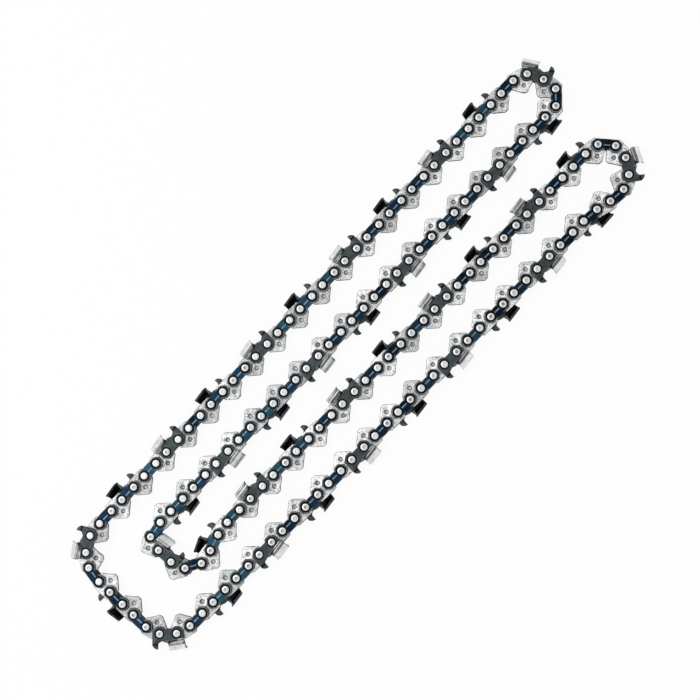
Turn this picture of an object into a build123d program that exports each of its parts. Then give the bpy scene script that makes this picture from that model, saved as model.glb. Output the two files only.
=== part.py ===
from build123d import *
import cmath
import math
import os

# Chainsaw chain loop, laid flat on its side in two long lobes.
#
# Drive links run in the middle layer. Pairs of outer links, either two tie straps or a cutter and a
# strap, hold them from both sides, and a rivet is headed over at each place where they meet. Cutters
# stand on alternate sides, one at every second outer pair.
#
# Each link is drawn in its own frame: x forward in the cutting direction, y away from the guide bar,
# z across the chain from the middle of the drive link, with the origin halfway between its rivets.

# Chain size, in millimetres
PITCH = 9.525  # 3/8 inch, half the distance over three rivets in a row
OUTER_SPAN = 10.05  # rivet spacing of a strap or cutter
GAUGE = 1.6  # thickness of a drive link, which runs in the bar's groove
PLATE = 1.5  # thickness of a strap or cutter
KERF = 7.6  # width over the outer corners of the left and right cutters
DRIVE_LINKS = 84
CUTTER_STEP = 4  # outer pairs from one cutter to the next on the same side

# Tie straps, and the lower half of the cutters: heights from the rivet line, lengths past a rivet
STRAP_TOP = 3.7
LOBE_DEPTH = 4.1
WAIST_DEPTH = 2.6  # between the two lobes
STRAP_END = 3.9
CUTTER_END = 4.3  # a cutter's front end reaches further
END_FLAT = 1.5  # half height of the flat at each end
END_FOOT = 1.3  # where the top edge and a lobe's foot stop, past the rivet

# Drive links
DRIVE_TOP = 5.0
DRIVE_END = 3.7
DRIVE_NOSE = 0.5  # height of the blunt point at each end
HEEL_END = 2.5  # corner that shows at the waist of the outer links, past a rivet
HEEL_DEPTH = 4.2
TANG_DEPTH = 9.3
TANG_FRONT = 0.7  # the tang's blunt tip lies a little behind the middle
TANG_BACK = -1.7

# Cutters: the depth gauge and the gullet, from the front rivet
GULLET = (-1.4, 4.4)
GAUGE_ROOT = (1.0, 6.0)
GAUGE_TIP = (1.8, 9.0)
GAUGE_NOSE = (4.4, 7.1)

# Folded crown of a cutter
CROWN_SLOPE = 7.0  # degrees that it falls towards its back
CROWN_BASE = 3.4  # height of the kink beside the rear rivet
CROWN_BACK = 4.6  # reach behind the rear rivet
CROWN_FRONT = 4.9  # reach in front of it
CROWN_HEIGHT = 5.9  # from the kink to the top plate
FLARE_HEIGHT = 1.0  # of the part that leans out to the kerf
SIDE_HEIGHT = 2.1  # of the upright side above it
CHAMFER_WIDTH = 3.1  # of the slope from the side to the top plate
TOP_PLATE_WIDTH = 5.9
TOP_PLATE_THICKNESS = 1.1
CROWN_THICKNESS = 1.4  # at the chamfer
TOP_PLATE_ANGLE = 30.0  # degrees that the cutting edge is swept back

# Rivet heads, as low faceted domes
HEAD_RADIUS = 2.2
HEAD_HEIGHT = 0.45
HEAD_SIDES = 5

# Lay of the loop: corners of the rivet line as x, y and bend radius, in the order of travel.
# The two tips are moved in x together until the links close on themselves.
FIRST_TIP = [(190, 41, 12), (192, 12.5, 7)]
INNER_BEND = [(-161, 10, 7), (-159, -29, 14), (-126, -18, 10)]
SECOND_TIP = [(197, -19.5, 12), (182, -53, 19), (153, -45.5, 12)]
OUTER_BEND = [(-196, -44, 20), (-199, 35, 21)]
FIRST_RIVET = 9.1  # distance of the first rivet along the first tip's bend
TIP_TRAVEL = 100.0  # furthest that the tips may move

DRIVE_SPAN = 2 * PITCH - OUTER_SPAN
HALF_OUTER = OUTER_SPAN / 2
HALF_DRIVE = DRIVE_SPAN / 2
INNER_FACE = GAUGE / 2
OUTER_FACE = INNER_FACE + PLATE
SIDE_FACE = KERF / 2


def from_front(point):
    """A point of a cutter given from its front rivet, in the link's own frame."""
    return HALF_OUTER + point[0], point[1]


# Outlines, clockwise from the rear of the top edge
LOBES = [
    (HALF_OUTER + END_FOOT, -LOBE_DEPTH),
    (0, -WAIST_DEPTH),
    (-HALF_OUTER - END_FOOT, -LOBE_DEPTH),
    (-HALF_OUTER - STRAP_END, -END_FLAT),
]
STRAP = [
    (-HALF_OUTER - STRAP_END, END_FLAT),
    (-HALF_OUTER - END_FOOT, STRAP_TOP),
    (HALF_OUTER + END_FOOT, STRAP_TOP),
    (HALF_OUTER + STRAP_END, END_FLAT),
    (HALF_OUTER + STRAP_END, -END_FLAT),
    *LOBES,
]
CROWN_RISE = math.tan(math.radians(CROWN_SLOPE))
KINK_BACK = (-HALF_OUTER - CROWN_BACK, CROWN_BASE - CROWN_BACK * CROWN_RISE)
KINK_FRONT = (-HALF_OUTER + CROWN_FRONT, CROWN_BASE + CROWN_FRONT * CROWN_RISE)
CHASSIS = [
    KINK_BACK,
    KINK_FRONT,
    from_front(GULLET),
    from_front(GAUGE_ROOT),
    from_front(GAUGE_TIP),
    from_front(GAUGE_NOSE),
    (HALF_OUTER + CUTTER_END, -END_FLAT),
    *LOBES,
]
DRIVE = [
    (-HALF_DRIVE - END_FOOT, DRIVE_TOP),
    (HALF_DRIVE + END_FOOT, DRIVE_TOP),
    (HALF_DRIVE + DRIVE_END, DRIVE_NOSE),
    (HALF_DRIVE + HEEL_END, -HEEL_DEPTH),
    (TANG_FRONT, -TANG_DEPTH),
    (TANG_BACK, -TANG_DEPTH),
    (-HALF_DRIVE - HEEL_END, -HEEL_DEPTH),
    (-HALF_DRIVE - DRIVE_END, DRIVE_NOSE),
]

# Section of the crown, across the chain and up from the kink: flare, side, chamfer and top plate
TOP_CORNER = SIDE_FACE - CHAMFER_WIDTH
TOP_EDGE = SIDE_FACE - TOP_PLATE_WIDTH
CROWN = [
    (OUTER_FACE, 0),
    (SIDE_FACE, FLARE_HEIGHT),
    (SIDE_FACE, FLARE_HEIGHT + SIDE_HEIGHT),
    (TOP_CORNER, CROWN_HEIGHT),
    (TOP_EDGE, CROWN_HEIGHT),
    (TOP_EDGE, CROWN_HEIGHT - TOP_PLATE_THICKNESS),
    (TOP_CORNER, CROWN_HEIGHT - CROWN_THICKNESS),
    (OUTER_FACE, FLARE_HEIGHT + SIDE_HEIGHT / 2),
    (INNER_FACE, 0),
]
CROWN_EDGE = [(x, y + CROWN_HEIGHT) for x, y in (KINK_BACK, KINK_FRONT)]


def arc_run(start, heading, radius, turn):
    """Length of an arc, and the function from a distance along it to a point, as x + yj."""
    side = math.copysign(1, turn)
    centre = start + side * radius * 1j * heading
    return radius * abs(turn), lambda s: centre + (start - centre) * cmath.exp(side * s / radius * 1j)


def straight_run(start, end):
    """Length of a straight run, and the function from a distance along it to a point."""
    heading = (end - start) / abs(end - start)
    return abs(end - start), lambda s: start + s * heading


def route_runs(corners):
    """Runs of the closed rivet line: each corner's arc and the straight run after it."""
    points = [complex(x, y) for x, y, radius in corners]
    bends = []
    for n, point in enumerate(points):
        heading = (point - points[n - 1]) / abs(point - points[n - 1])
        turn = cmath.phase((points[(n + 1) % len(points)] - point) / heading)
        radius = corners[n][2]
        tangent = radius * math.tan(abs(turn) / 2)
        leaves = point + tangent * heading * cmath.exp(turn * 1j)
        bends.append((point - tangent * heading, heading, radius, turn, leaves))
    runs = []
    for bend, following in zip(bends, bends[1:] + bends[:1]):
        runs += [arc_run(*bend[:4]), straight_run(bend[4], following[0])]
    return runs


def point_at(runs, distance):
    """Point at a distance along the closed route."""
    distance %= sum(length for length, point in runs)
    for length, point in runs:
        if distance <= length:
            return point(distance)
        distance -= length
    return runs[0][1](0)


def halve(low, high, is_low, rounds=40):
    """Value between low and high at which is_low stops being true."""
    for _ in range(rounds):
        middle = (low + high) / 2
        if is_low(middle):
            low = middle
        else:
            high = middle
    return high


def walk_rivets(tip_shift):
    """Rivets at their true spacing along the route, and how far the chain overshoots its start."""
    tips = [[(x + tip_shift, y, radius) for x, y, radius in tip] for tip in (FIRST_TIP, SECOND_TIP)]
    runs = route_runs(tips[0] + INNER_BEND + tips[1] + OUTER_BEND)
    distance = FIRST_RIVET
    rivets = [point_at(runs, distance)]
    for n in range(2 * DRIVE_LINKS):
        span = DRIVE_SPAN if n % 2 else OUTER_SPAN
        distance = halve(
            distance, distance + 2 * span, lambda s: abs(point_at(runs, s) - rivets[-1]) < span
        )
        rivets.append(point_at(runs, distance))
    return rivets[:-1], distance - FIRST_RIVET - sum(length for length, point in runs)


def lie_at(outline, rear, front):
    """Outline points of a link, as x + yj, where it lies between two rivets."""
    heading = (front - rear) / abs(front - rear)
    return [(rear + front) / 2 + complex(x, y) * heading for x, y in outline]


def link_place(rear, front):
    """Place of a link between two rivets, with its cutters' corners on the table."""
    middle = (rear + front) / 2
    turn = math.degrees(cmath.phase(front - rear))
    return Location((middle.real, middle.imag, SIDE_FACE), (0, 0, turn))


# Rivets of the closed loop, moved so that the middle of the loop's box is over the origin
shift = halve(-TIP_TRAVEL, TIP_TRAVEL, lambda tip_shift: walk_rivets(tip_shift)[1] > 0)
rivets = walk_rivets(shift)[0]
edge = []
for n in range(DRIVE_LINKS):
    has_cutter = n % (CUTTER_STEP // 2) == 0
    edge += lie_at(CHASSIS + CROWN_EDGE if has_cutter else STRAP, *rivets[2 * n : 2 * n + 2])
    edge += lie_at(DRIVE, rivets[2 * n - 1], rivets[2 * n])
middle = complex(
    min(p.real for p in edge) + max(p.real for p in edge),
    min(p.imag for p in edge) + max(p.imag for p in edge),
)
rivets = [rivet - middle / 2 for rivet in rivets]

# Places of the links and rivets round the loop
outer_places = [link_place(*ends) for ends in zip(rivets[0::2], rivets[1::2])]
drive_places = [link_place(*ends) for ends in zip(rivets[1::2], rivets[2::2] + rivets[:1])]
rivet_places = [Location((rivet.real, rivet.imag, SIDE_FACE)) for rivet in rivets]
right_places = outer_places[0::CUTTER_STEP]
left_places = outer_places[CUTTER_STEP // 2 :: CUTTER_STEP]
upper_strap_places = [place for place in outer_places if place not in right_places]
lower_strap_places = [place for place in outer_places if place not in left_places]

# One drive link
with BuildPart() as drive_link:
    with BuildSketch(Plane.XY.offset(-INNER_FACE)):
        Polygon(*DRIVE)
    extrude(amount=GAUGE)

# One tie strap, for the upper side
with BuildPart() as tie_strap:
    with BuildSketch(Plane.XY.offset(INNER_FACE)):
        Polygon(*STRAP)
    extrude(amount=PLATE)

# One right-hand cutter, which stands on the upper side: the crown, folded out to the kerf and back
# over the chain with its cutting edge swept back, on a flat chassis with the depth gauge
with BuildPart() as right_cutter:
    backward = Vector(-1, -CROWN_RISE, 0)
    with BuildSketch(Plane(origin=(*KINK_FRONT, 0), x_dir=(0, 0, 1), z_dir=(-1, 0, 0))):
        Polygon(*CROWN)
    extrude(amount=(CROWN_BACK + CROWN_FRONT) * backward.length, dir=backward)
    sweep_back = math.radians(TOP_PLATE_ANGLE)
    edge_plane = Plane(
        origin=(*KINK_FRONT, TOP_CORNER), z_dir=(math.cos(sweep_back), 0, -math.sin(sweep_back))
    )
    split(bisect_by=edge_plane, keep=Keep.BOTTOM)
    with BuildSketch(Plane.XY.offset(INNER_FACE)):
        Polygon(*CHASSIS)
    extrude(amount=PLATE)

# The left-hand cutter is its mirror image
with BuildPart() as left_cutter:
    mirror(right_cutter.part, about=Plane.XY)

# One rivet head, on the outer face of a strap or cutter
with BuildPart() as rivet_head:
    with BuildSketch(Plane.XY.offset(OUTER_FACE)):
        RegularPolygon(HEAD_RADIUS, HEAD_SIDES)
    loft(sections=[rivet_head.pending_faces[0], Vertex(0, 0, OUTER_FACE + HEAD_HEIGHT)])


def save_group(name, piece, places):
    """Write copies of a piece, at each of the places, as one node."""
    with BuildPart() as group:
        with Locations(*places):
            add(piece)
    group.part.label = name
    export_step(group.part, f"parts/{name}.step")


os.makedirs("parts", exist_ok=True)
save_group("drive_links", drive_link.part, drive_places)
save_group("tie_straps_upper", tie_strap.part, upper_strap_places)
save_group("tie_straps_lower", mirror(tie_strap.part, about=Plane.XY), lower_strap_places)
save_group("rivet_heads_upper", rivet_head.part, rivet_places)
save_group("rivet_heads_lower", mirror(rivet_head.part, about=Plane.XY), rivet_places)
for number, place in enumerate(right_places, start=1):
    save_group(f"right_cutter_{number:02d}", right_cutter.part, [place])
for number, place in enumerate(left_places, start=1):
    save_group(f"left_cutter_{number:02d}", left_cutter.part, [place])
print("tips moved by", round(shift, 3), "mm")
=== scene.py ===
# %% [markdown]
# # A loop of saw chain on a white table
#
# A saw chain is hundreds of stamped steel plates held together by rivets. The CAD model already says
# where each of them lies. This lesson gives each kind of plate its real edges, folds and finish, and lays
# copies of it on the CAD places. The first cell loads the CAD model, which stays fixed.

# %% Load the CAD model
import math
import random

import bpy
from mathutils import Matrix, Vector, kdtree
from mathutils.geometry import tessellate_polygon


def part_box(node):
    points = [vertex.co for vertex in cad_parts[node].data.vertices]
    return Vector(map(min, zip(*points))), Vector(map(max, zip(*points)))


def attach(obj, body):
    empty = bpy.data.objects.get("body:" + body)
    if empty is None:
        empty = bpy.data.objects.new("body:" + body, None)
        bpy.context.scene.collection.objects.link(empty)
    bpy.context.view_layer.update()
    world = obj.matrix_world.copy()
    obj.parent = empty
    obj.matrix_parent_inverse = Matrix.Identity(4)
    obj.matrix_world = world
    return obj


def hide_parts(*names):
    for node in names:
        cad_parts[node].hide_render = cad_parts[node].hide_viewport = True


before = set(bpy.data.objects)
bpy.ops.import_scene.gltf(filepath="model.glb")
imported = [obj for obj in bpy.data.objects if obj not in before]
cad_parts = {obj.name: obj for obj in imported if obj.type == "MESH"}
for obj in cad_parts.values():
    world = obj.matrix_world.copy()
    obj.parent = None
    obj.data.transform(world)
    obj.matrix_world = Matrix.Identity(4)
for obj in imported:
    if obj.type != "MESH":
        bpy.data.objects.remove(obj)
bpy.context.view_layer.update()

MM = 0.001
print("CAD nodes:", len(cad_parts))

# %% [markdown]
# ## Where the rivets are
#
# Every link lies between two rivets, so the rivets are all we need to know. Each CAD rivet head ends in a
# point, and the points are the highest corners of that node. From one rivet to the next we go in turn
# over an outer link and over a drive link: the drive link is the shorter one, so it leads to the nearer
# of a rivet's two neighbours.

# %% Find the rivets and walk round the loop
SAME_HEIGHT = 0.01 * MM
MICRON_DIGITS = 6

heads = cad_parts["rivet_heads_upper"].data.vertices
crest = max(corner.co.z for corner in heads)
crests = [corner.co.xy for corner in heads if crest - corner.co.z < SAME_HEIGHT]
rivets = sorted({tuple(round(c, MICRON_DIGITS) for c in point) for point in crests})
near = kdtree.KDTree(len(rivets))
for number, rivet in enumerate(rivets):
    near.insert((*rivet, 0), number)
near.balance()

order = [0]
while len(order) < len(rivets):
    itself, over_drive_link, over_outer_link = near.find_n((*rivets[order[-1]], 0), 3)
    order.append((over_outer_link if len(order) % 2 else over_drive_link)[1])
loop = [Vector(rivets[number]) for number in order]

# The bar's side of the chain has to be on the right of the way it runs.
turning = sum(here.cross(following) for here, following in zip(loop, loop[1:] + loop[:1]))
if turning > 0:
    loop.reverse()
print("rivets:", len(loop))

# %% [markdown]
# ## Places of the links
#
# Each link is drawn once, in millimetres, in a frame of its own: x along the chain, y away from the bar,
# z across the chain. A matrix then turns it, shrinks it to metres and moves it between its two rivets.
# The heights of the layers are read from the CAD boxes, so the plates touch each other just as the solids
# do. The chain rests on its cutters' crowns, so its middle is as high above the table as a crown reaches
# out.

# %% Make a matrix for each link
low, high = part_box("drive_links")
MIDDLE = (low.z + high.z) / 2
HALF_GAUGE = (high.z - MIDDLE) / MM
low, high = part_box("tie_straps_upper")
INNER = (low.z - MIDDLE) / MM
OUTER = (high.z - MIDDLE) / MM
SIDE = MIDDLE / MM
HALF_OUTER = (loop[1] - loop[0]).length / MM / 2
HALF_DRIVE = (loop[2] - loop[1]).length / MM / 2


def place(rear, front):
    """Matrix from a link's own frame to the table."""
    along = front - rear
    turn = Matrix.Rotation(math.atan2(along.y, along.x), 4, "Z")
    return Matrix.Translation((*(rear + front) / 2, MIDDLE)) @ turn @ Matrix.Scale(MM, 4)


outer_places = [place(rear, front) for rear, front in zip(loop[0::2], loop[1::2])]
drive_places = [place(rear, front) for rear, front in zip(loop[1::2], loop[2::2] + loop[:1])]
rivet_places = [place(rivet, following) for rivet, following in zip(loop, loop[1:] + loop[:1])]
for matrix, rivet in zip(rivet_places, loop):
    matrix.translation.xy = rivet


def outer_link_of(node):
    """Number of the outer link that a cutter's node is."""
    low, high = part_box(node)
    centre = (low + high).xy / 2
    return min(range(len(outer_places)), key=lambda n: (outer_places[n].translation.xy - centre).length)


cutter_links = {node: outer_link_of(node) for node in sorted(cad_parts) if "cutter" in node}
print("outer links:", len(outer_places), "drive links:", len(drive_places), "cutters:", len(cutter_links))

# %% [markdown]
# ## A stamped plate
#
# All links are stamped from sheet steel: an outline with rounded corners, straight walls, and edges that
# were tumbled until they broke. A plain extruded polygon with a Bevel modifier would be the quick way,
# but that modifier squeezes its width where an outline has short sides. So the walls are built here ring
# by ring: each ring is the outline, moved in a little near the top and bottom face. Outlines run
# clockwise and holes the other way, so that the steel is always on the right.

# %% Outlines
ARC_STEP = math.radians(15)
LEAST_ARC_STEPS = 2
LEAST_LEAN = 0.5


def rounded(corners, closed=True, arc_step=ARC_STEP):
    """Points of a line whose corners are given as x, y and a corner radius."""
    points = []
    for n, (x, y, radius) in enumerate(corners):
        here = Vector((x, y))
        if radius == 0 or not closed and n in (0, len(corners) - 1):
            points.append(here)
            continue
        back = (Vector(corners[n - 1][:2]) - here).normalized()
        ahead = (Vector(corners[(n + 1) % len(corners)][:2]) - here).normalized()
        half = back.angle(ahead) / 2
        centre = here + (back + ahead).normalized() * radius / math.sin(half)
        start = here + back * radius / math.tan(half) - centre
        end = here + ahead * radius / math.tan(half) - centre
        turn = math.atan2(start.cross(end), start.dot(end))
        steps = max(LEAST_ARC_STEPS, math.ceil(abs(turn) / arc_step))
        points += [centre + Matrix.Rotation(turn * step / steps, 2) @ start for step in range(steps + 1)]
    return points


def circle(x, y, radius, count, clockwise=False):
    """Points of a circle, as a hole unless it is said to be clockwise."""
    way = -1 if clockwise else 1
    turns = [way * 2 * math.pi * n / count for n in range(count)]
    return [Vector((x + radius * math.cos(turn), y + radius * math.sin(turn))) for turn in turns]


def inset(points, distance):
    """The same outline, moved into the steel by a distance, with a limit at sharp corners."""
    moved = []
    for before, here, after in zip(points[-1:] + points[:-1], points, points[1:] + points[:1]):
        first = (here - before).normalized()
        both = (first + (after - here).normalized()).normalized()
        inward = Vector((both.y, -both.x))
        lean = max(LEAST_LEAN, inward.dot(Vector((first.y, -first.x))))
        moved.append(here + inward * distance / lean)
    return moved


print("points round a square corner:", round(math.pi / 2 / ARC_STEP) + 1)

# %% [markdown]
# A shape is kept as plain lists: its points, its faces, the finish of each face and whether that face is
# shaded smooth. Flat caps stay flat, walls and bends are smooth. A broken edge is a steep slope and then
# a narrow, flatter one next to the face.

# %% Rings, walls and caps
# How far in and how far from the face each ring of a broken edge lies, as shares of the edge's width.
BROKEN_EDGE = [(1, 0), (0.7, 0.2), (0, 1)]


def new_shape():
    return {"points": [], "faces": [], "finish": [], "smooth": []}


def add_face(shape, corners, finish, smooth):
    shape["faces"].append(corners)
    shape["finish"].append(finish)
    shape["smooth"].append(smooth)


def ring(shape, points, z):
    """Add a line of points at one height, and return their numbers."""
    first = len(shape["points"])
    shape["points"] += [Vector((*point, z)) for point in points]
    return list(range(first, first + len(points)))


def wall(shape, lower, upper, finish, smooth=True):
    """Faces between two closed rings."""
    for n in range(len(lower)):
        add_face(shape, [lower[n - 1], upper[n - 1], upper[n], lower[n]], finish, smooth)


def cap(shape, rings, finish, up=True):
    """Fill an outline, less the holes in it, with flat triangles."""
    numbers = [number for one in rings for number in one]
    lines = [[shape["points"][number] for number in one] for one in rings]
    for triangle in tessellate_polygon(lines):
        corners = [numbers[n] for n in triangle]
        a, b, c = (shape["points"][number] for number in corners)
        if ((b - a).cross(c - a).z > 0) != up:
            corners.reverse()
        add_face(shape, corners, finish, False)


def side_steps(low, high, width):
    """Steps up the side of a plate, as an inset and a height, with both edges broken."""
    foot = [(width * i, low + width * h) for i, h in BROKEN_EDGE]
    head = [(width * i, high - width * h) for i, h in reversed(BROKEN_EDGE)]
    return foot + head


print("rings up a plate's side:", 2 * len(BROKEN_EDGE))

# %% [markdown]
# A pocket is a shallow place that a punch pressed into the outer face. Each rivet sits in a round one,
# which shows as a black ring: sooty oil stays in it, and its colour is painted near black as the shade in
# the recess as well. A Boolean modifier could cut it, but would leave long thin faces with no finish of
# their own. Here the cap has a hole, with a wall and a floor in it.

# %% Pockets and whole plates
# Numbers of the finishes, in the list that each kind of piece has.
FACE, EDGE, SEAT, MARK, BEVEL = range(5)
SEAT_RADIUS = 2.95
SEAT_DEPTH = 0.2
SEAT_LEAN = 0.12
SEAT_SIDES = 32


def pocket(shape, outline, face, depth, lean, wall_finish, floor_finish):
    """Press a pocket into a face, downwards unless the depth is negative, and return its rim."""
    rim = ring(shape, outline, face)
    floor = ring(shape, inset(outline, -lean), face - depth)
    lower, upper = (floor, rim) if depth > 0 else (rim, floor)
    wall(shape, lower, upper, wall_finish)
    cap(shape, [floor], floor_finish, up=depth > 0)
    return rim


def rivet_seats(shape, half_span, top):
    """Press a seat for each of a link's two rivets."""
    seats = [circle(x, 0, SEAT_RADIUS, SEAT_SIDES) for x in (-half_span, half_span)]
    return [pocket(shape, seat, top, SEAT_DEPTH, SEAT_LEAN, SEAT, SEAT) for seat in seats]


def plate(shape, outline, steps, bevel=EDGE):
    """Walls round an outline, up to a bevel, and the rings of the lowest and highest step."""
    rings = [ring(shape, inset(outline, depth), z) for depth, z in steps]
    for lower, upper in zip(rings, rings[1:]):
        wall(shape, lower, upper, bevel if upper is rings[-1] else EDGE)
    return rings[0], rings[-1]


print("radius of a seat's floor, mm:", SEAT_RADIUS - SEAT_LEAN)

# %% [markdown]
# ## Tie straps
#
# A strap has an eight-sided end round each rivet, a straight back, and a waist on the bar's side. Its
# edges are broken wider than those of the other plates, and round the rivets a thin line of them carries
# a painted highlight. A shallow bar is stamped between its rivets. The edge stays narrower than the
# corners' radius, or the inner rings would cross themselves there.

# %% Draw one strap
STRAP_TOP = 3.7
LOBE_DEPTH = 4.1
WAIST = 2.6
WAIST_HALF = 1.9
END = 3.9
END_FLAT = 1.5
FOOT = 1.35
CORNER = 0.55
STRAP_EDGE = 0.5
BAR_X, BAR_Y = 1.9, 0.42
BAR_CORNER = 0.3
BAR_DEPTH = 0.1
BAR_LEAN = 0.06


def lobes(reach=END):
    """The bar's side of a strap or cutter, from its front end to its rear end."""
    ahead = [(HALF_OUTER + FOOT, -LOBE_DEPTH), (HALF_OUTER - FOOT, -LOBE_DEPTH), (WAIST_HALF, -WAIST)]
    behind = [(-x, y) for x, y in reversed(ahead)]
    front_end = [(HALF_OUTER + reach, -END_FLAT)]
    rear_end = [(-HALF_OUTER - END, -END_FLAT)]
    return [(x, y, CORNER) for x, y in front_end + ahead + behind + rear_end]


def strap_outline():
    ends = HALF_OUTER + END
    feet = HALF_OUTER + FOOT
    back = [(-ends, END_FLAT), (-feet, STRAP_TOP), (feet, STRAP_TOP), (ends, END_FLAT)]
    return rounded([(x, y, CORNER) for x, y in back] + lobes())


strap = new_shape()
foot, top = plate(strap, strap_outline(), side_steps(INNER, OUTER, STRAP_EDGE), BEVEL)
cap(strap, [foot], FACE, up=False)
bar_corners = [(-BAR_X, -BAR_Y), (BAR_X, -BAR_Y), (BAR_X, BAR_Y), (-BAR_X, BAR_Y)]
bar = rounded([(x, y, BAR_CORNER) for x, y in bar_corners])
mark = pocket(strap, bar, OUTER, BAR_DEPTH, BAR_LEAN, MARK, MARK)
cap(strap, [top] + rivet_seats(strap, HALF_OUTER, OUTER) + [mark], FACE)
print("strap faces:", len(strap["faces"]))

# %% [markdown]
# ## Drive links
#
# A drive link fills the gap between two pairs of outer links. Its tang runs in the bar's groove: a broad
# wedge with a blunt tip, a slightly hollow front that carries oil along, and an oil dimple on each side,
# below the straps. A curve could be drawn for each hollow and hump, but they are corners like the others,
# only with a large radius. The dimple is a pocket whose wall and floor are painted dark as shade; the one
# underneath is the same pocket with its heights mirrored.

# %% Draw one drive link
DRIVE_EDGE = 0.24
DIMPLE = (0.1, -4.9, 1.4)
DIMPLE_SIDES = 28
DIMPLE_DEPTH = 0.5
DIMPLE_LEAN = 0.5

# Corners as a place along the chain, a height and a radius. The first three go outwards from a rivet.
BACK_CORNER = (1.3, 4.75, 0.9)
FLANK_CORNER = (3.7, 0.5, 1.2)
HIP_CORNER = (2.5, -4.3, 0.8)
BACK_MIDDLE = (0, 5.0, 20.0)
FRONT_HOLLOW = (2.8, -7.35, 4.0)
TIP_FRONT = (0.8, -9.3, 0.8)
TIP_REAR = (-1.6, -9.3, 1.6)


def drive_side(way, corners):
    """Corners outwards from the front rivet, or from the rear one if the way is -1."""
    return [(way * (HALF_DRIVE + reach), y, radius) for reach, y, radius in corners]


tang = [
    *drive_side(-1, [BACK_CORNER]),
    BACK_MIDDLE,
    *drive_side(1, [BACK_CORNER, FLANK_CORNER, HIP_CORNER]),
    FRONT_HOLLOW,
    TIP_FRONT,
    TIP_REAR,
    *drive_side(-1, [HIP_CORNER, FLANK_CORNER]),
]
drive_link = new_shape()
foot, top = plate(drive_link, rounded(tang), side_steps(-HALF_GAUGE, HALF_GAUGE, DRIVE_EDGE))
dimple = circle(*DIMPLE, DIMPLE_SIDES)
rim = pocket(drive_link, dimple, HALF_GAUGE, DIMPLE_DEPTH, DIMPLE_LEAN, SEAT, MARK)
rim_below = pocket(drive_link, dimple, -HALF_GAUGE, -DIMPLE_DEPTH, DIMPLE_LEAN, SEAT, MARK)
cap(drive_link, [foot, rim_below], FACE, up=False)
cap(drive_link, [top, rim], FACE)
print("drive link faces:", len(drive_link["faces"]))

# %% [markdown]
# ## Cutters
#
# A cutter is one piece of sheet steel. It starts as a flat blank, and a press folds its upper part out to
# the side, up, and back over the chain. It could be modelled in its folded form, but then each bend's
# thickness has to be worked out. We do as the press does: the blank is built flat, as any plate, and its
# points are then moved along the folded section. Heights above the fold line become distances along that
# section, so the sheet keeps its length. The fold line falls towards the back, which gives the cutting
# edge its clearance.

# %% The folded section
FOLD_SLOPE = math.tan(math.radians(7.0))
FOLD_HEIGHT = 4.0
CROWN_AHEAD, CROWN_BEHIND = 4.9, 4.2
FOLD_FRONT = Vector((-HALF_OUTER + CROWN_AHEAD, FOLD_HEIGHT))
FOLD_BACK = -HALF_OUTER - CROWN_BEHIND
FOLD_START = 0.2
FLARE_TOP, SIDE_TOP, CROWN_TOP = 1.0, 3.1, 5.9
CHAMFER_END = 0.7
CROWN_WIDTH = 5.9
FOOT_BEND, SIDE_BEND, CHAMFER_BEND, TOP_BEND = 0.35, 0.9, 0.8, 0.6
BEND_STEP = math.radians(5)

section = rounded(
    [
        (OUTER, -FOLD_START, 0),
        (OUTER, 0, FOOT_BEND),
        (SIDE, FLARE_TOP, SIDE_BEND),
        (SIDE, SIDE_TOP, CHAMFER_BEND),
        (CHAMFER_END, CROWN_TOP, TOP_BEND),
        (SIDE - CROWN_WIDTH, CROWN_TOP, 0),
    ],
    closed=False,
    arc_step=BEND_STEP,
)
lengths = [0.0]
for here, following in zip(section, section[1:]):
    lengths.append(lengths[-1] + (following - here).length)
SHEET = lengths[-1]
print("sheet folded into the crown, mm:", round(SHEET, 2))

# %% [markdown]
# Folding a point needs the section's place and its direction there. The direction comes from two places a
# little before and after it, and the sheet's thickness is laid off square to it. The press also thins the
# sheet a little where it bends out.

# %% Fold a point
CROWN_THINNING = 0.2
THINNED_FROM = 2.0
SMALL_STEP = 0.05


def along_section(distance):
    """Point of the section, across the chain and up, at a distance along it."""
    for n in range(1, len(lengths)):
        if distance <= lengths[n]:
            share = (distance - lengths[n - 1]) / (lengths[n] - lengths[n - 1])
            return section[n - 1].lerp(section[n], share)
    return section[-1] + (section[-1] - section[-2]).normalized() * (distance - SHEET)


def fold_line(x):
    return FOLD_FRONT.y - FOLD_START + (x - FOLD_FRONT.x) * FOLD_SLOPE


def fold(point):
    """Move a point of the flat blank to where the press folds it."""
    distance = point.y - fold_line(point.x)
    if distance <= 0:
        return point
    before, after = max(0, distance - SMALL_STEP), distance + SMALL_STEP
    step = (along_section(after) - along_section(before)).normalized()
    thinner = 1 - CROWN_THINNING * min(1, distance / THINNED_FROM)
    across, up = along_section(distance) + Vector((step.y, -step.x)) * (point.z - OUTER) * thinner
    return Vector((point.x, fold_line(point.x) + FOLD_START + up, across))


print("fold line's height at the front, mm:", round(fold_line(FOLD_FRONT.x), 2))

# %% [markdown]
# The blank's rear and front edges have a point at each of the rows that the fold needs, closer together
# near the fold line, where the bends are tight. The front edge is hollow, where a round file sharpens it,
# and its top is swept back. Below, it runs out into the gullet in a fillet. The file leans, so the inner
# face is set back from the cutting edge.

# %% Edges of the crown
ROWS = 36
ROW_GROWTH = 1.2
TOP_PLATE = 2.8
TOP_CORNER = SHEET - TOP_PLATE
HOLLOW = 0.45
HOLLOW_START = 2.0
GULLET = 3.7
GULLET_RISE = 0.9
GULLET_CURVE = 1.5
TIP_SET_BACK = 0.2
SWEPT_BACK = math.tan(math.radians(30))
FILE_LEAN = 2.0
LEAN_LOSS = 0.8
OVERHANG = 0.9
OVERHANG_RISE = 2.5


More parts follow.
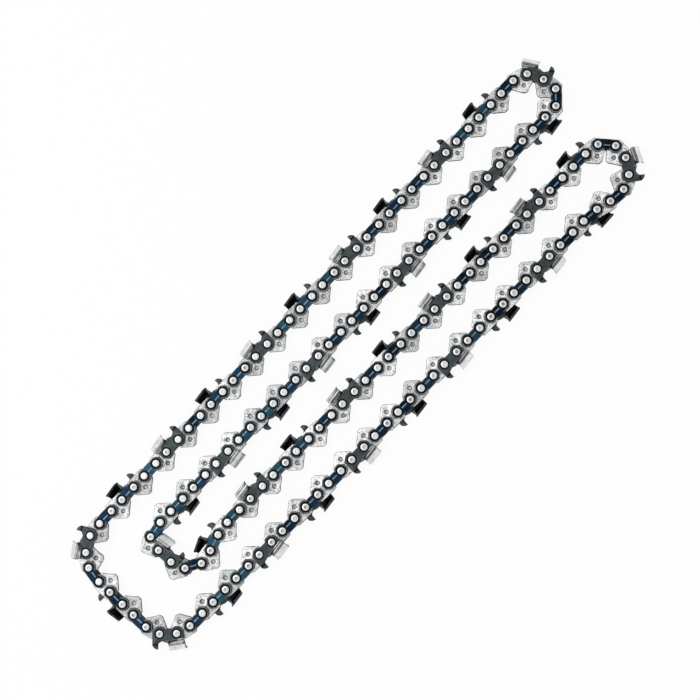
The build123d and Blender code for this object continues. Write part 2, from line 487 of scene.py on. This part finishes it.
def front_edge(distance):
    """Place of the front edge at a distance above the fold line."""
    if distance > TOP_CORNER:
        return FOLD_FRONT.x - TIP_SET_BACK - (distance - TOP_CORNER) * SWEPT_BACK
    share = max(0, distance - HOLLOW_START) / (TOP_CORNER - HOLLOW_START)
    fillet = GULLET * max(0, 1 - distance / GULLET_RISE) ** GULLET_CURVE
    return FOLD_FRONT.x - TIP_SET_BACK * share - HOLLOW * math.sin(math.pi * share) + fillet


def set_back(distance):
    """How far the file sets the inner face back from the cutting edge."""
    return FILE_LEAN * min(1, distance) * (1 - LEAN_LOSS * min(1, distance / TOP_CORNER))


def rear_edge(distance):
    """Place of the rear edge, which hangs over the chassis."""
    return FOLD_BACK - OVERHANG * math.sin(math.pi / 2 * min(1, distance / OVERHANG_RISE))


distances = [SHEET * (row / ROWS) ** ROW_GROWTH for row in range(ROWS + 1)]
rear = [Vector((x, fold_line(x) + d)) for x, d in ((rear_edge(d), d) for d in distances)]
front = [Vector((x, fold_line(x) + d)) for x, d in ((front_edge(d), d) for d in distances)]
print("length of the crown at its foot and top, mm:", [round(front[n].x - rear[n].x, 2) for n in (0, -1)])

# %% [markdown]
# Round the rest of the blank goes the chassis: the depth gauge ahead of the gullet, with a sharp tip, and
# the same lobes round the rivets as on a strap.

# %% The flat blank
COLUMNS = 8
CUTTER_END = 4.3
REAR_CORNER = 1.0

# The depth gauge's corners, from the front rivet: along the chain, up, and a radius.
GAUGE_FOOT = (-0.7, 4.5, 1.2)
GAUGE_HEEL = (1.1, 5.6, 1.2)
GAUGE_TIP = (1.25, 8.9, 0.2)
GAUGE_BROW = (3.0, 8.4, 0.9)
GAUGE_NOSE = (4.45, 6.8, 1.2)

gauge_corners = [GAUGE_FOOT, GAUGE_HEEL, GAUGE_TIP, GAUGE_BROW, GAUGE_NOSE]
gauge = [(HALF_OUTER + x, y, radius) for x, y, radius in gauge_corners]
end = [(-HALF_OUTER - END, END_FLAT, REAR_CORNER)]
below = [(*front[0], 0)] + gauge + lobes(CUTTER_END) + end + [(*rear[0], 0)]
chassis = rounded(below, closed=False)[1:-1]
ridge = [rear[-1].lerp(front[-1], column / COLUMNS) for column in range(1, COLUMNS)]
blank = rear + ridge + front[::-1] + chassis
FRONT = len(rear) + len(ridge)
print("points round the blank:", len(blank))

# %% [markdown]
# The walls are rings again, with the inner face set back along the cutting edge. Each cap has two parts:
# a grid above the fold line, which can bend, and a flat fill below it. The rows of the grid also say
# which finish a face gets, since on the real cutter the flare, the side, the chamfer and the top plate
# wear differently.

# %% Rings and grids of a cutter
# A cutter has no strap's bevel, so the finishes of its crown start at that number.
CROWN, INSIDE, TOP, EDGE_HIGHLIGHT, FILED, PAINTED_SIDE_SHADE, BACK, FLARE = range(BEVEL, BEVEL + 8)
SIDE_START, SIDE_END = 1.3, 3.6
INSIDE_START = 0.5

cutter = new_shape()
folded = set()


def blank_ring(depth, z):
    """One ring of the blank's side, with the inner face set back at the cutting edge."""
    points = inset(blank, depth)
    if z < (INNER + OUTER) / 2:
        for n in range(FRONT, FRONT + ROWS + 1):
            points[n].x -= set_back(distances[ROWS - n + FRONT])
    numbers = ring(cutter, points, z)
    folded.update(numbers[: FRONT + ROWS + 1])
    return numbers


def outer_finish(distance):
    if distance < SIDE_START:
        return FLARE
    if distance < SIDE_END:
        return PAINTED_SIDE_SHADE
    return TOP if distance > TOP_CORNER else CROWN


def inner_finish(distance):
    return BACK if distance < INSIDE_START else INSIDE


def crown_grid(numbers, finish_at, up):
    """Grid above the fold line, and the row of points on that line."""
    grid = []
    for row in range(ROWS):
        left, right = numbers[row], numbers[FRONT + ROWS - row]
        a, b = cutter["points"][left], cutter["points"][right]
        between = ring(cutter, [a.lerp(b, n / COLUMNS).xy for n in range(1, COLUMNS)], a.z)
        folded.update(between)
        grid.append([left] + between + [right])
    grid.append(numbers[ROWS : FRONT + 1])
    for distance, lower, upper in zip(distances, grid, grid[1:]):
        for n in range(COLUMNS):
            corners = [lower[n], lower[n + 1], upper[n + 1], upper[n]]
            add_face(cutter, corners if up else corners[::-1], finish_at(distance), True)
    return grid[0][1:-1]


print("rows with the top plate's finish:", sum(outer_finish(d) == TOP for d in distances[:-1]))

# %% [markdown]
# Now the cutter is put together flat: its walls, the two grids, the flat fills and the rivets' seats. The
# file leaves its marks on the front wall below the top plate, and a painted highlight lies on the inner
# edge of the top plate's free end. The last lines are the press: they fold every point that lies above
# the fold line.

# %% Build and fold one cutter
CUTTER_EDGE = 0.18
HIGHLIGHT_STEP = 1
TOP_ROWS = sum(distance > TOP_CORNER for distance in distances)

rings = [blank_ring(depth, z) for depth, z in side_steps(INNER, OUTER, CUTTER_EDGE)]
for step, (lower, upper) in enumerate(zip(rings, rings[1:])):
    first = len(cutter["finish"])
    wall(cutter, lower, upper, EDGE)
    cutter["finish"][first + FRONT + TOP_ROWS : first + FRONT + ROWS] = [FILED] * (ROWS - TOP_ROWS)
    # A painted highlight along the inner edge of the top plate's free end.
    if step == HIGHLIGHT_STEP:
        cutter["finish"][first + ROWS : first + FRONT] = [EDGE_HIGHLIGHT] * (FRONT - ROWS)
for numbers, bent, up in ((rings[0], inner_finish, False), (rings[-1], outer_finish, True)):
    on_line = crown_grid(numbers, bent, up)
    edge = numbers[FRONT + ROWS :] + numbers[:1] + on_line
    if up:
        cap(cutter, [edge] + rivet_seats(cutter, HALF_OUTER, OUTER), FACE)
    else:
        cap(cutter, [edge], BACK, up=False)
for n in folded:
    cutter["points"][n] = fold(cutter["points"][n])
print("cutter faces:", len(cutter["faces"]))

# %% [markdown]
# ## Rivets
#
# A rivet's head is spun over by a roller: a low dome with a turned ring and a dimple in the middle. A
# Screw modifier could turn its profile. The rings and walls that the plates use do the same, and they let
# the shoulder have a finish of its own, painted dark as the shade round the head.

# %% Turn one rivet head
RIVET_SIDES = 32
SHOULDER_STEPS = 3

# Radius and height above the plate, from the foot in its seat to the dimple.
profile = [
    (2.12, -SEAT_DEPTH),
    (2.12, -0.05),
    (2.08, 0.06),
    (1.95, 0.17),
    (1.75, 0.27),
    (1.5, 0.36),
    (1.25, 0.42),
    (1.05, 0.45),
    (0.9, 0.44),
    (0.75, 0.41),
    (0.5, 0.39),
    (0.25, 0.385),
]
rivet_head = new_shape()
turned = [ring(rivet_head, circle(0, 0, r, RIVET_SIDES, clockwise=True), OUTER + z) for r, z in profile]
for step, (lower, upper) in enumerate(zip(turned, turned[1:])):
    wall(rivet_head, lower, upper, EDGE if step < SHOULDER_STEPS else FACE)
cap(rivet_head, turned[-1:], FACE)
cap(rivet_head, turned[:1], EDGE, up=False)
print("rivet head faces:", len(rivet_head["faces"]))

# %% [markdown]
# ## Finishes
#
# Most of the steel is one recipe with other numbers: a metallic shader whose colour clouds between two
# tones, whose roughness follows fine streaks along the plate, and whose streaks also give a faint bump.
# Pictures could be wrapped round the plates instead, but patterns that Blender works out stay sharp
# however near we look. They have to stay on the link, wherever it lies, so they use a mesh attribute that
# keeps each point's place in its link's own frame. A second attribute gives each copy a number of its
# own, so that no two copies look alike.

# %% Nodes of a material
# The Mix node has sockets for each kind of value. These are the ones for colours.
MIX_FIRST, MIX_SECOND, MIX_RESULT = 6, 7, 2


def node_maker(tree):
    """A function that adds a node to a tree, with sockets or plain values as its inputs."""

    def node(kind, output=0, inputs=(), **settings):
        made = tree.nodes.new("ShaderNode" + kind)
        for key, value in settings.items():
            setattr(made, key, value)
        for key, value in dict(inputs).items():
            if isinstance(value, bpy.types.NodeSocket):
                tree.links.new(value, made.inputs[key])
            else:
                made.inputs[key].default_value = value
        return made.outputs[output]

    return node


def start_steel(name):
    """A new metallic material, a function that adds nodes to it and one that joins them to its shader."""
    material = bpy.data.materials.new(name)
    material.use_nodes = True
    tree = material.node_tree
    shader = tree.nodes["Principled BSDF"]
    shader.inputs["Metallic"].default_value = 1.0

    def join(socket, shader_input):
        tree.links.new(socket, shader.inputs[shader_input])

    return material, node_maker(tree), join


def colour(red, green, blue):
    return (red, green, blue, 1.0)


def blend_colours(node, factor, first, second):
    return node("Mix", MIX_RESULT, {0: factor, MIX_FIRST: first, MIX_SECOND: second}, data_type="RGBA")


def times_plus(node, value, factor, added):
    return node("Math", 0, {0: value, 1: factor, 2: added}, operation="MULTIPLY_ADD")


def to_range(node, value, start, end, low=0.0, high=1.0):
    """Go from low to high while a value goes from its start to its end."""
    limits = {"From Min": start, "From Max": end, "To Min": low, "To Max": high}
    return node("MapRange", 0, {"Value": value, **limits})


def noise(node, where, scale, detail):
    return node("TexNoise", "Fac", {"Vector": where, "Scale": scale, "Detail": detail})


print("colour sockets of a Mix node:", MIX_FIRST, MIX_SECOND)

# %% [markdown]
# The recipe itself has two extras. Ground steel is pitted: spots round scattered points, with a ragged
# rim, where dirt stays. A painted shade is a tone that grows along a direction of the link, where shade
# falls. It can reach further on one copy than on the next.

# %% A recipe for steel
COPY_SHIFT = (61, 37, 19)
CLOUD_SCALE, CLOUD_DETAIL = 0.35, 4.0
CLOUD_LOW, CLOUD_HIGH = 0.35, 0.65
STREAK_SCALE, STREAK_DETAIL = 1.0, 5.0
STREAK_LIMITS = (0.3, 0.7)
STREAK_STRENGTH = 0.5
PIT_SCALE = 1.0
PIT_GRAIN, GRAIN_DETAIL, GRAIN_PULL = 1.6, 3.0, 1.1
PIT_RIM, PIT_FLOOR = 0.92, 0.67
SHADE_RAGGED = 0.8


def link_coordinates(node):
    """A point's place in its own link, the copy's number, and the place moved by that number."""
    where = node("Attribute", "Vector", attribute_name="link_mm")
    copy = node("Attribute", "Fac", attribute_name="copy_number")
    moved = node("VectorMath", 0, {0: copy, 1: COPY_SHIFT, 2: where}, operation="MULTIPLY_ADD")
    return where, copy, moved


def add_relief(node, join, pattern, limits, rough, strength, height):
    """Let a pattern change the roughness and give a faint bump."""
    join(to_range(node, pattern, *limits, *rough), "Roughness")
    join(node("Bump", 0, {"Height": pattern, "Strength": strength, "Distance": height * MM}), "Normal")


def streaks_along(node, moved, streak):
    stretched = node("VectorMath", 0, {0: moved, 1: streak}, operation="MULTIPLY")
    return noise(node, stretched, STREAK_SCALE, STREAK_DETAIL)


def add_pits(node, moved, tone, speck):
    """Spots round scattered points, with a ragged rim."""
    pits = node("TexVoronoi", "Distance", {"Vector": moved, "Scale": PIT_SCALE})
    ragged = times_plus(node, noise(node, moved, PIT_GRAIN, GRAIN_DETAIL), GRAIN_PULL, pits)
    return blend_colours(node, to_range(node, ragged, PIT_RIM, PIT_FLOOR), tone, colour(*speck))


def add_painted_shade(node, reach, tone, start, end, shade_tone):
    """Painted shade: a tone that grows while a ragged reach goes from its start to its end."""
    depth = to_range(node, reach, start + SHADE_RAGGED / 2, end + SHADE_RAGGED / 2)
    return blend_colours(node, depth, tone, colour(*shade_tone))


def steel(name, dark, light, rough, streak=(0.5, 5, 5), bump=0.03, spread=0.0, speck=None,
          painted_shades=(), shade_spread=0.0):
    """Steel with clouds from dark to light, streaks along the link, and painted shade towards one side of
    it.
    """
    material, node, join = start_steel(name)
    where, copy, moved = link_coordinates(node)
    clouds = noise(node, moved, CLOUD_SCALE, CLOUD_DETAIL)
    shade = times_plus(node, copy, spread, clouds)
    share = to_range(node, shade, CLOUD_LOW + spread / 2, CLOUD_HIGH + spread / 2)
    tone = blend_colours(node, share, colour(*dark), colour(*light))
    if speck:
        tone = add_pits(node, moved, tone, speck)
    # Each of these is painted shade, growing along a direction of the link.
    for towards, start, end, shade_tone in painted_shades:
        along = node("VectorMath", "Value", {0: where, 1: towards}, operation="DOT_PRODUCT")
        ragged = times_plus(node, clouds, SHADE_RAGGED, along)
        reach = times_plus(node, copy, shade_spread, ragged)
        tone = add_painted_shade(node, reach, tone, start, end, shade_tone)
    join(tone, "Base Color")
    add_relief(node, join, streaks_along(node, moved, streak), STREAK_LIMITS, rough, STREAK_STRENGTH, bump)
    return material


# Seats: near black for sooty oil, and painted near black as the shade in the recess round each rivet.
soot_and_painted_shade = steel("seat_soot_and_painted_shade", (0.006, 0.007, 0.008), (0.016, 0.018, 0.020), (0.45, 0.7))
print(soot_and_painted_shade.name, "has nodes:", len(soot_and_painted_shade.node_tree.nodes))

# %% [markdown]
# Straps are blued by heat. Between the rivets they shimmer from navy to teal, and each strap has its own
# tone; round the rivets they are nearly black, with a painted highlight along their bevel. That change
# needs the distance to the nearer rivet. Taking x, y and z without their signs folds the link over, so
# that one rivet is enough.

# %% Blued steel
BLUE_CLOUDS = 0.3
BLUE_SHADES = (0.35, 1.65)
NAVY, BLUE, TEAL = (0.0035, 0.007, 0.016), (0.013, 0.046, 0.092), (0.034, 0.108, 0.138)
BLUE_AT = 0.55
BLUE_WIDTH = 0.9
BLUE_STREAK = (0.6, 5, 5)
BLUE_STREAK_LIMITS = (0, 1)
BLUE_ROUGH = (0.2, 0.5)
BLUE_STRENGTH = 0.4
BLUE_BUMP = 0.03


def blued_steel(name, end_tone, blue_start):
    """Steel that goes from an end tone round the rivets to a blue of its own for each copy."""
    material, node, join = start_steel(name)
    where, copy, moved = link_coordinates(node)
    shade = times_plus(node, noise(node, moved, BLUE_CLOUDS, CLOUD_DETAIL), 1.0, copy)
    ramp = node("ValToRGB", 0, {"Fac": to_range(node, shade, *BLUE_SHADES)})
    stops = ramp.node.color_ramp.elements
    stops[0].color = colour(*NAVY)
    stops[1].color = colour(*TEAL)
    stops.new(BLUE_AT).color = colour(*BLUE)
    mirrored = node("VectorMath", 0, {0: where}, operation="ABSOLUTE")
    from_rivet = node("VectorMath", 0, {0: mirrored, 1: (HALF_OUTER, 0, OUTER)}, operation="SUBTRACT")
    distance = node("VectorMath", "Value", {0: from_rivet}, operation="LENGTH")
    blue = to_range(node, distance, blue_start, blue_start + BLUE_WIDTH)
    join(blend_colours(node, blue, colour(*end_tone), ramp), "Base Color")
    streaks = streaks_along(node, moved, BLUE_STREAK)
    add_relief(node, join, streaks, BLUE_STREAK_LIMITS, BLUE_ROUGH, BLUE_STRENGTH, BLUE_BUMP)
    return material


strap_finishes = [
    blued_steel("blued_strap", (0.024, 0.029, 0.032), 3.0),
    blued_steel("strap_edge", (0.038, 0.044, 0.048), 3.6),
    soot_and_painted_shade,
    steel("stamped_mark", (0.16, 0.22, 0.31), (0.30, 0.38, 0.48), (0.4, 0.6)),
    # The bevel's pale grey round the rivets is a painted highlight.
    blued_steel("bevel_painted_highlight", (0.42, 0.435, 0.445), 3.8),
]
print("strap finishes:", [material.name for material in strap_finishes])

# %% [markdown]
# Drive links are ground bright and pitted. Their edge is painted dark as shade, darker still towards the
# back, and their dimple's wall and floor are painted dark as the shade in a hole. One tone for each of
# these faces is enough, since the recipe brings the clouds and streaks.

# %% Bright steel of the drive links
UP = (0, 1, 0)

drive_finishes = [
    steel(
        "ground_drive_link", (0.60, 0.61, 0.605), (0.96, 0.965, 0.96), (0.5, 0.7),
        streak=(1, 4, 4), spread=0.35, speck=(0.12, 0.122, 0.122),
    ),
    # Painted shade: the edges are dark, and darker still towards the back of the link.
    steel(
        "drive_link_edge_painted_shade", (0.10, 0.10, 0.10), (0.26, 0.26, 0.26), (0.4, 0.6),
        painted_shades=[(UP, 3.2, 4.4, (0.05, 0.05, 0.05))],
    ),
    # The dimple's dark wall and grey floor are painted shade.
    steel("dimple_wall_painted_shade", (0.05, 0.052, 0.054), (0.13, 0.132, 0.134), (0.4, 0.6)),
    steel("dimple_floor_painted_shade", (0.25, 0.255, 0.26), (0.53, 0.535, 0.54), (0.4, 0.6)),
]
print("drive link finishes:", [material.name for material in drive_finishes])

# %% [markdown]
# A cutter has a dark chassis, with a band of painted shade across its depth gauge that gives way to a
# lighter top. A hard chrome skin covers the outside of the crown: bright on the flare and the chamfer,
# painted darker as shade on the side, most of all towards its front and foot, and painted dark as shade
# on the top plate. The flare's painted shade grows towards its front and reaches further on some cutters
# than on others. The inside is black oxide, painted nearly black as the shade inside the crown as well.

# %% Steel and chrome of the cutters
FORWARD, FORWARD_AND_DOWN = (1, 0, 0), (0.9, -1, 0)
CHROME_STREAK = (0.3, 6, 6)
FILE_STREAK = (5, 0.5, 0.5)
CHROME_BUMP = 0.01
CHROME_ROUGH = (0.1, 0.25)

# The seats' near black finish, sooty and painted as shade, stands in at the number of a strap's mark,
# which a cutter has no face for.
cutter_finishes = [
    # Painted shade: a dark band across the depth gauge, lighter again at its top.
    steel(
        "cutter_chassis", (0.050, 0.063, 0.065), (0.083, 0.104, 0.106), (0.4, 0.6),
        painted_shades=[(UP, 5.2, 5.7, (0.010, 0.013, 0.014)), (UP, 6.35, 6.9, (0.080, 0.084, 0.086))],
    ),
    steel("cutter_edge", (0.02, 0.023, 0.024), (0.06, 0.066, 0.068), (0.3, 0.5)),
    soot_and_painted_shade,
    soot_and_painted_shade,
    steel(
        "chromed_crown", (0.60, 0.61, 0.61), (0.82, 0.83, 0.83), CHROME_ROUGH,
        streak=CHROME_STREAK, bump=CHROME_BUMP,
    ),
    # Black oxide inside the crown, painted nearly black as its shade as well.
    steel("black_inside_and_painted_shade", (0.010, 0.012, 0.013), (0.026, 0.029, 0.030), (0.35, 0.6)),
    # Painted shade: the top plate's chrome is painted dark grey.
    steel("top_plate_painted_shade", (0.16, 0.165, 0.165), (0.30, 0.305, 0.305), (0.3, 0.5), streak=CHROME_STREAK),
    # Painted highlight: a pale line on the inner edge of the top plate's free end.
    steel("edge_painted_highlight", (0.05, 0.055, 0.055), (0.20, 0.21, 0.21), (0.3, 0.5)),
    steel("filed_edge", (0.07, 0.075, 0.078), (0.17, 0.18, 0.185), (0.25, 0.4), streak=FILE_STREAK),
    # Painted shade: the side band's chrome is painted darker than the chamfer's, and darker still towards
    # its front and foot.
    steel(
        "side_chrome_painted_shade", (0.22, 0.225, 0.225), (0.40, 0.405, 0.405), (0.12, 0.3),
        streak=CHROME_STREAK, painted_shades=[(FORWARD_AND_DOWN, -7.4, -6.2, (0.012, 0.014, 0.015))],
    ),
    steel("cutter_back", (0.050, 0.055, 0.058), (0.095, 0.102, 0.106), (0.4, 0.6)),
    # The flare's darkening towards its front is painted shade, reaching further on some cutters than on
    # others.
    steel(
        "chromed_flare", (0.60, 0.61, 0.61), (0.86, 0.87, 0.87), CHROME_ROUGH,
        streak=CHROME_STREAK, bump=CHROME_BUMP,
        painted_shades=[(FORWARD, -4.6, -2.4, (0.10, 0.108, 0.109))], shade_spread=3.5,
    ),
]
print("cutter finishes:", [material.name for material in cutter_finishes])

# %% [markdown]
# Rivets are bright, with the fine rings that the roller leaves. Blender's Wave texture makes rings round
# the link's own z axis. The dimple in the middle carries painted shade, deep on some rivets and faint on
# others.

# %% Turned steel of the rivets
RIVET_CLOUDS, RIVET_DETAIL = 0.8, 3.0
RING_DARK, RING_LIGHT = (0.68, 0.69, 0.70), (0.90, 0.91, 0.92)
# The dimple's darkness is painted shade, its depth drawn at random for each rivet.
DIMPLE_SHADE, DIMPLE_LIGHT = (0.26, 0.265, 0.26), (0.84, 0.85, 0.85)
DIMPLE_END, RING_START = 0.7, 1.15
MARK_SCALE, MARK_WOBBLE = 2.2, 0.6
MARK_LIMITS = (0, 1)
MARK_ROUGH = (0.34, 0.48)
MARK_STRENGTH = 0.35
MARK_BUMP = 0.02


def turned_steel(name):
    """Bright steel with fine rings round the rivet's middle."""
    material, node, join = start_steel(name)
    where, copy, moved = link_coordinates(node)
    clouds = noise(node, moved, RIVET_CLOUDS, RIVET_DETAIL)
    ring_tone = blend_colours(node, clouds, colour(*RING_DARK), colour(*RING_LIGHT))
    # Painted shade in the rivet's dimple, deep on some copies and faint on others.
    dimple_painted_shade = blend_colours(node, copy, colour(*DIMPLE_SHADE), colour(*DIMPLE_LIGHT))
    flat = node("VectorMath", 0, {0: where, 1: (1, 1, 0)}, operation="MULTIPLY")
    radius = node("VectorMath", "Value", {0: flat}, operation="LENGTH")
    out = to_range(node, radius, DIMPLE_END, RING_START)
    join(blend_colours(node, out, dimple_painted_shade, ring_tone), "Base Color")
    wave = {"Vector": where, "Scale": MARK_SCALE, "Distortion": MARK_WOBBLE}
    marks = node("TexWave", "Fac", wave, wave_type="RINGS", rings_direction="Z")
    add_relief(node, join, marks, MARK_LIMITS, MARK_ROUGH, MARK_STRENGTH, MARK_BUMP)
    return material


rivet_finishes = [
    turned_steel("spun_rivet_head"),
    # The shoulder is painted dark as the shade round the rivet's head.
    steel("rivet_shoulder_painted_shade", (0.20, 0.205, 0.21), (0.40, 0.41, 0.42), (0.25, 0.4)),
]
print("materials:", len(bpy.data.materials))

# %% [markdown]
# ## Lay the copies out
#
# Each CAD node is replaced by one object with all the copies that the node has. An Array modifier or
# instances could repeat a link, but then the copies would share their attributes, and each needs a number
# of its own. So the points of all copies go into one mesh. A plate of the lower side is the upper one
# turned over; that also turns its faces inside out, so their corners are listed backwards.

# %% Copies of a shape
SHARP_ANGLE = math.radians(50)
SEED = 7
TURNED_OVER = Matrix.Scale(-1, 4, (0, 0, 1))

chance = random.Random(SEED)


def lay_out(name, shape, places, finishes, node):
    """One object with a copy of the shape at each place, in the stead of a CAD node."""
    count = len(shape["points"])
    points, faces = [], []
    for matrix in places:
        backwards = matrix.determinant() < 0
        first = len(points)
        points += [matrix @ point for point in shape["points"]]
        for corners in shape["faces"]:
            moved = [first + number for number in corners]
            faces.append(moved[::-1] if backwards else moved)
    mesh = bpy.data.meshes.new(name)
    mesh.from_pydata(points, [], faces)
    for material in finishes:
        mesh.materials.append(material)
    mesh.polygons.foreach_set("material_index", shape["finish"] * len(places))
    mesh.polygons.foreach_set("use_smooth", shape["smooth"] * len(places))
    own = [c for point in shape["points"] for c in point]
    mesh.attributes.new("link_mm", "FLOAT_VECTOR", "POINT").data.foreach_set("vector", own * len(places))
    numbers = [number for number in (chance.random() for _ in places) for _ in range(count)]
    mesh.attributes.new("copy_number", "FLOAT", "POINT").data.foreach_set("value", numbers)
    mesh.set_sharp_from_angle(angle=SHARP_ANGLE)
    piece = bpy.data.objects.new(name, mesh)
    bpy.context.scene.collection.objects.link(piece)
    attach(piece, "root")
    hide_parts(node)
    print(name, "copies:", len(places), "faces:", len(faces))


def turned_over(places):
    return [matrix @ TURNED_OVER for matrix in places]


# %% [markdown]
# A strap lies on each side of every outer link, except where a cutter takes its place: right-hand cutters
# are on the upper side and left-hand ones on the lower side. The CAD nodes of the cutters say which links
# these are.

# %% Links and rivets in place
under_right = {link for node, link in cutter_links.items() if node.startswith("right")}
under_left = set(cutter_links.values()) - under_right
upper = [matrix for n, matrix in enumerate(outer_places) if n not in under_right]
lower = turned_over([matrix for n, matrix in enumerate(outer_places) if n not in under_left])
rivets_below = turned_over(rivet_places)
lay_out("bright_drive_links", drive_link, drive_places, drive_finishes, "drive_links")
lay_out("blued_straps_upper", strap, upper, strap_finishes, "tie_straps_upper")
lay_out("blued_straps_lower", strap, lower, strap_finishes, "tie_straps_lower")
lay_out("spun_rivets_upper", rivet_head, rivet_places, rivet_finishes, "rivet_heads_upper")
lay_out("spun_rivets_lower", rivet_head, rivets_below, rivet_finishes, "rivet_heads_lower")
for node, link in cutter_links.items():
    places = outer_places[link : link + 1]
    if node.startswith("left"):
        places = turned_over(places)
    lay_out("folded_" + node, cutter, places, cutter_finishes, node)

# %% [markdown]
# ## Table and light
#
# The photograph has a pure white background. More light on a white table would wash out the chain. So the
# table looks lit from within to the camera and to mirrored rays, but keeps part of its plain white, so
# that the chain's shadow shows.

# %% Table
TABLE_SIZE = 6
TABLE_WHITE = 0.9
GLOW = 0.92

bpy.ops.mesh.primitive_plane_add(size=TABLE_SIZE)
table = bpy.context.object
table.name = "white_table"
white = bpy.data.materials.new("white_table")
white.use_nodes = True
tree = white.node_tree
add_node = node_maker(tree)
paper = tree.nodes["Principled BSDF"]
paper.inputs["Base Color"].default_value = colour(TABLE_WHITE, TABLE_WHITE, TABLE_WHITE)
paper.inputs["Roughness"].default_value = 1.0
paper.inputs["Specular IOR Level"].default_value = 0.0
path = add_node("LightPath").node
seen = path.outputs["Is Camera Ray"]
for other in ("Is Glossy Ray", "Is Transmission Ray"):
    seen = add_node("Math", 0, {0: seen, 1: path.outputs[other]}, operation="MAXIMUM")
share = add_node("Math", 0, {0: seen, 1: GLOW}, operation="MULTIPLY")
lit = add_node("MixShader", 0, {0: share, 1: paper.outputs[0], 2: add_node("Emission")})
tree.links.new(lit, tree.nodes["Material Output"].inputs["Surface"])
table.data.materials.append(white)
print("table, m:", TABLE_SIZE)

# %% [markdown]
# The sky is brighter round the sides than straight above: polished steel that faces up then shows a grey,
# and its slopes show white. A colour ramp over the height of a ray's direction gives that without a
# picture.

# %% Sky
SKY_STRENGTH = 0.98
HORIZON = colour(0.92, 0.92, 0.92)
ZENITH = colour(0.22, 0.225, 0.23)
# Heights between the horizon and the zenith, each with its grey.
SKY_GREYS = {0.7: 1.0, 0.9: 0.85, 0.965: 0.3}

world = bpy.data.worlds.new("studio")
world.use_nodes = True
bpy.context.scene.world = world
tree = world.node_tree
add_node = node_maker(tree)
height = add_node("SeparateXYZ", "Z", {0: add_node("TexCoord", "Generated")})
sky = add_node("ValToRGB", 0, {"Fac": height})
stops = sky.node.color_ramp.elements
stops[0].color = HORIZON
stops[1].color = ZENITH
for level, grey in SKY_GREYS.items():
    stops.new(level).color = colour(grey, grey, grey)
light = tree.nodes["Background"]
light.inputs["Strength"].default_value = SKY_STRENGTH
tree.links.new(sky, light.inputs["Color"])
backdrop = add_node("Background", 0, {"Color": colour(1, 1, 1)})
seen = add_node("LightPath", "Is Camera Ray")
swap = add_node("MixShader", 0, {0: seen, 1: light.outputs[0], 2: backdrop})
tree.links.new(swap, tree.nodes["World Output"].inputs["Surface"])
print("greys of the sky:", len(stops))

# %% [markdown]
# A sky alone lights all sides alike. One large, soft and weak lamp adds a light side and a dark side, and
# with them a soft shadow.

# %% Lamp
LAMP_SIZE = 0.8
LAMP_ENERGY = 2.5
LAMP_AT = Vector((-0.35, 0.45, 0.75))

lamp = bpy.data.lights.new("softbox", "AREA")
lamp.size = LAMP_SIZE
lamp.energy = LAMP_ENERGY
softbox = bpy.data.objects.new("softbox", lamp)
softbox.location = LAMP_AT
softbox.rotation_euler = (-LAMP_AT).to_track_quat("-Z", "Y").to_euler()
bpy.context.scene.collection.objects.link(softbox)
bpy.context.scene.view_settings.view_transform = "Standard"
print("lamp energy:", lamp.energy)

# %% [markdown]
# ## Camera
#
# The photograph looks almost straight down, about 8 degrees off, with the loop lying from corner to
# corner. The camera could be aimed by eye, but its place was worked out from the rivets' places in the
# picture, so that each link of the render lies close to its place there.

# %% Camera
CAMERA_AT = Vector((9.69, -90.17, 693.7)) * MM
LOOKS_AT = Vector((3.82, 3.09, 3.8)) * MM
PICTURE_RIGHT = Vector((0.6937, -0.7129, -0.1023))
SENSOR = 36.0
PICTURE_PIXELS = 700
LENS_PIXELS = 1200

view = (LOOKS_AT - CAMERA_AT).normalized()
right = (PICTURE_RIGHT - view * PICTURE_RIGHT.dot(view)).normalized()
up = right.cross(view)
camera_data = bpy.data.cameras.new("camera")
camera_data.sensor_width = SENSOR
camera_data.lens = SENSOR * LENS_PIXELS / PICTURE_PIXELS
camera = bpy.data.objects.new("camera", camera_data)
aim = Matrix((right, up, -view)).transposed().to_4x4()
camera.matrix_world = Matrix.Translation(CAMERA_AT) @ aim
bpy.context.scene.collection.objects.link(camera)
bpy.context.scene.camera = camera
print("lens:", round(camera_data.lens, 1))
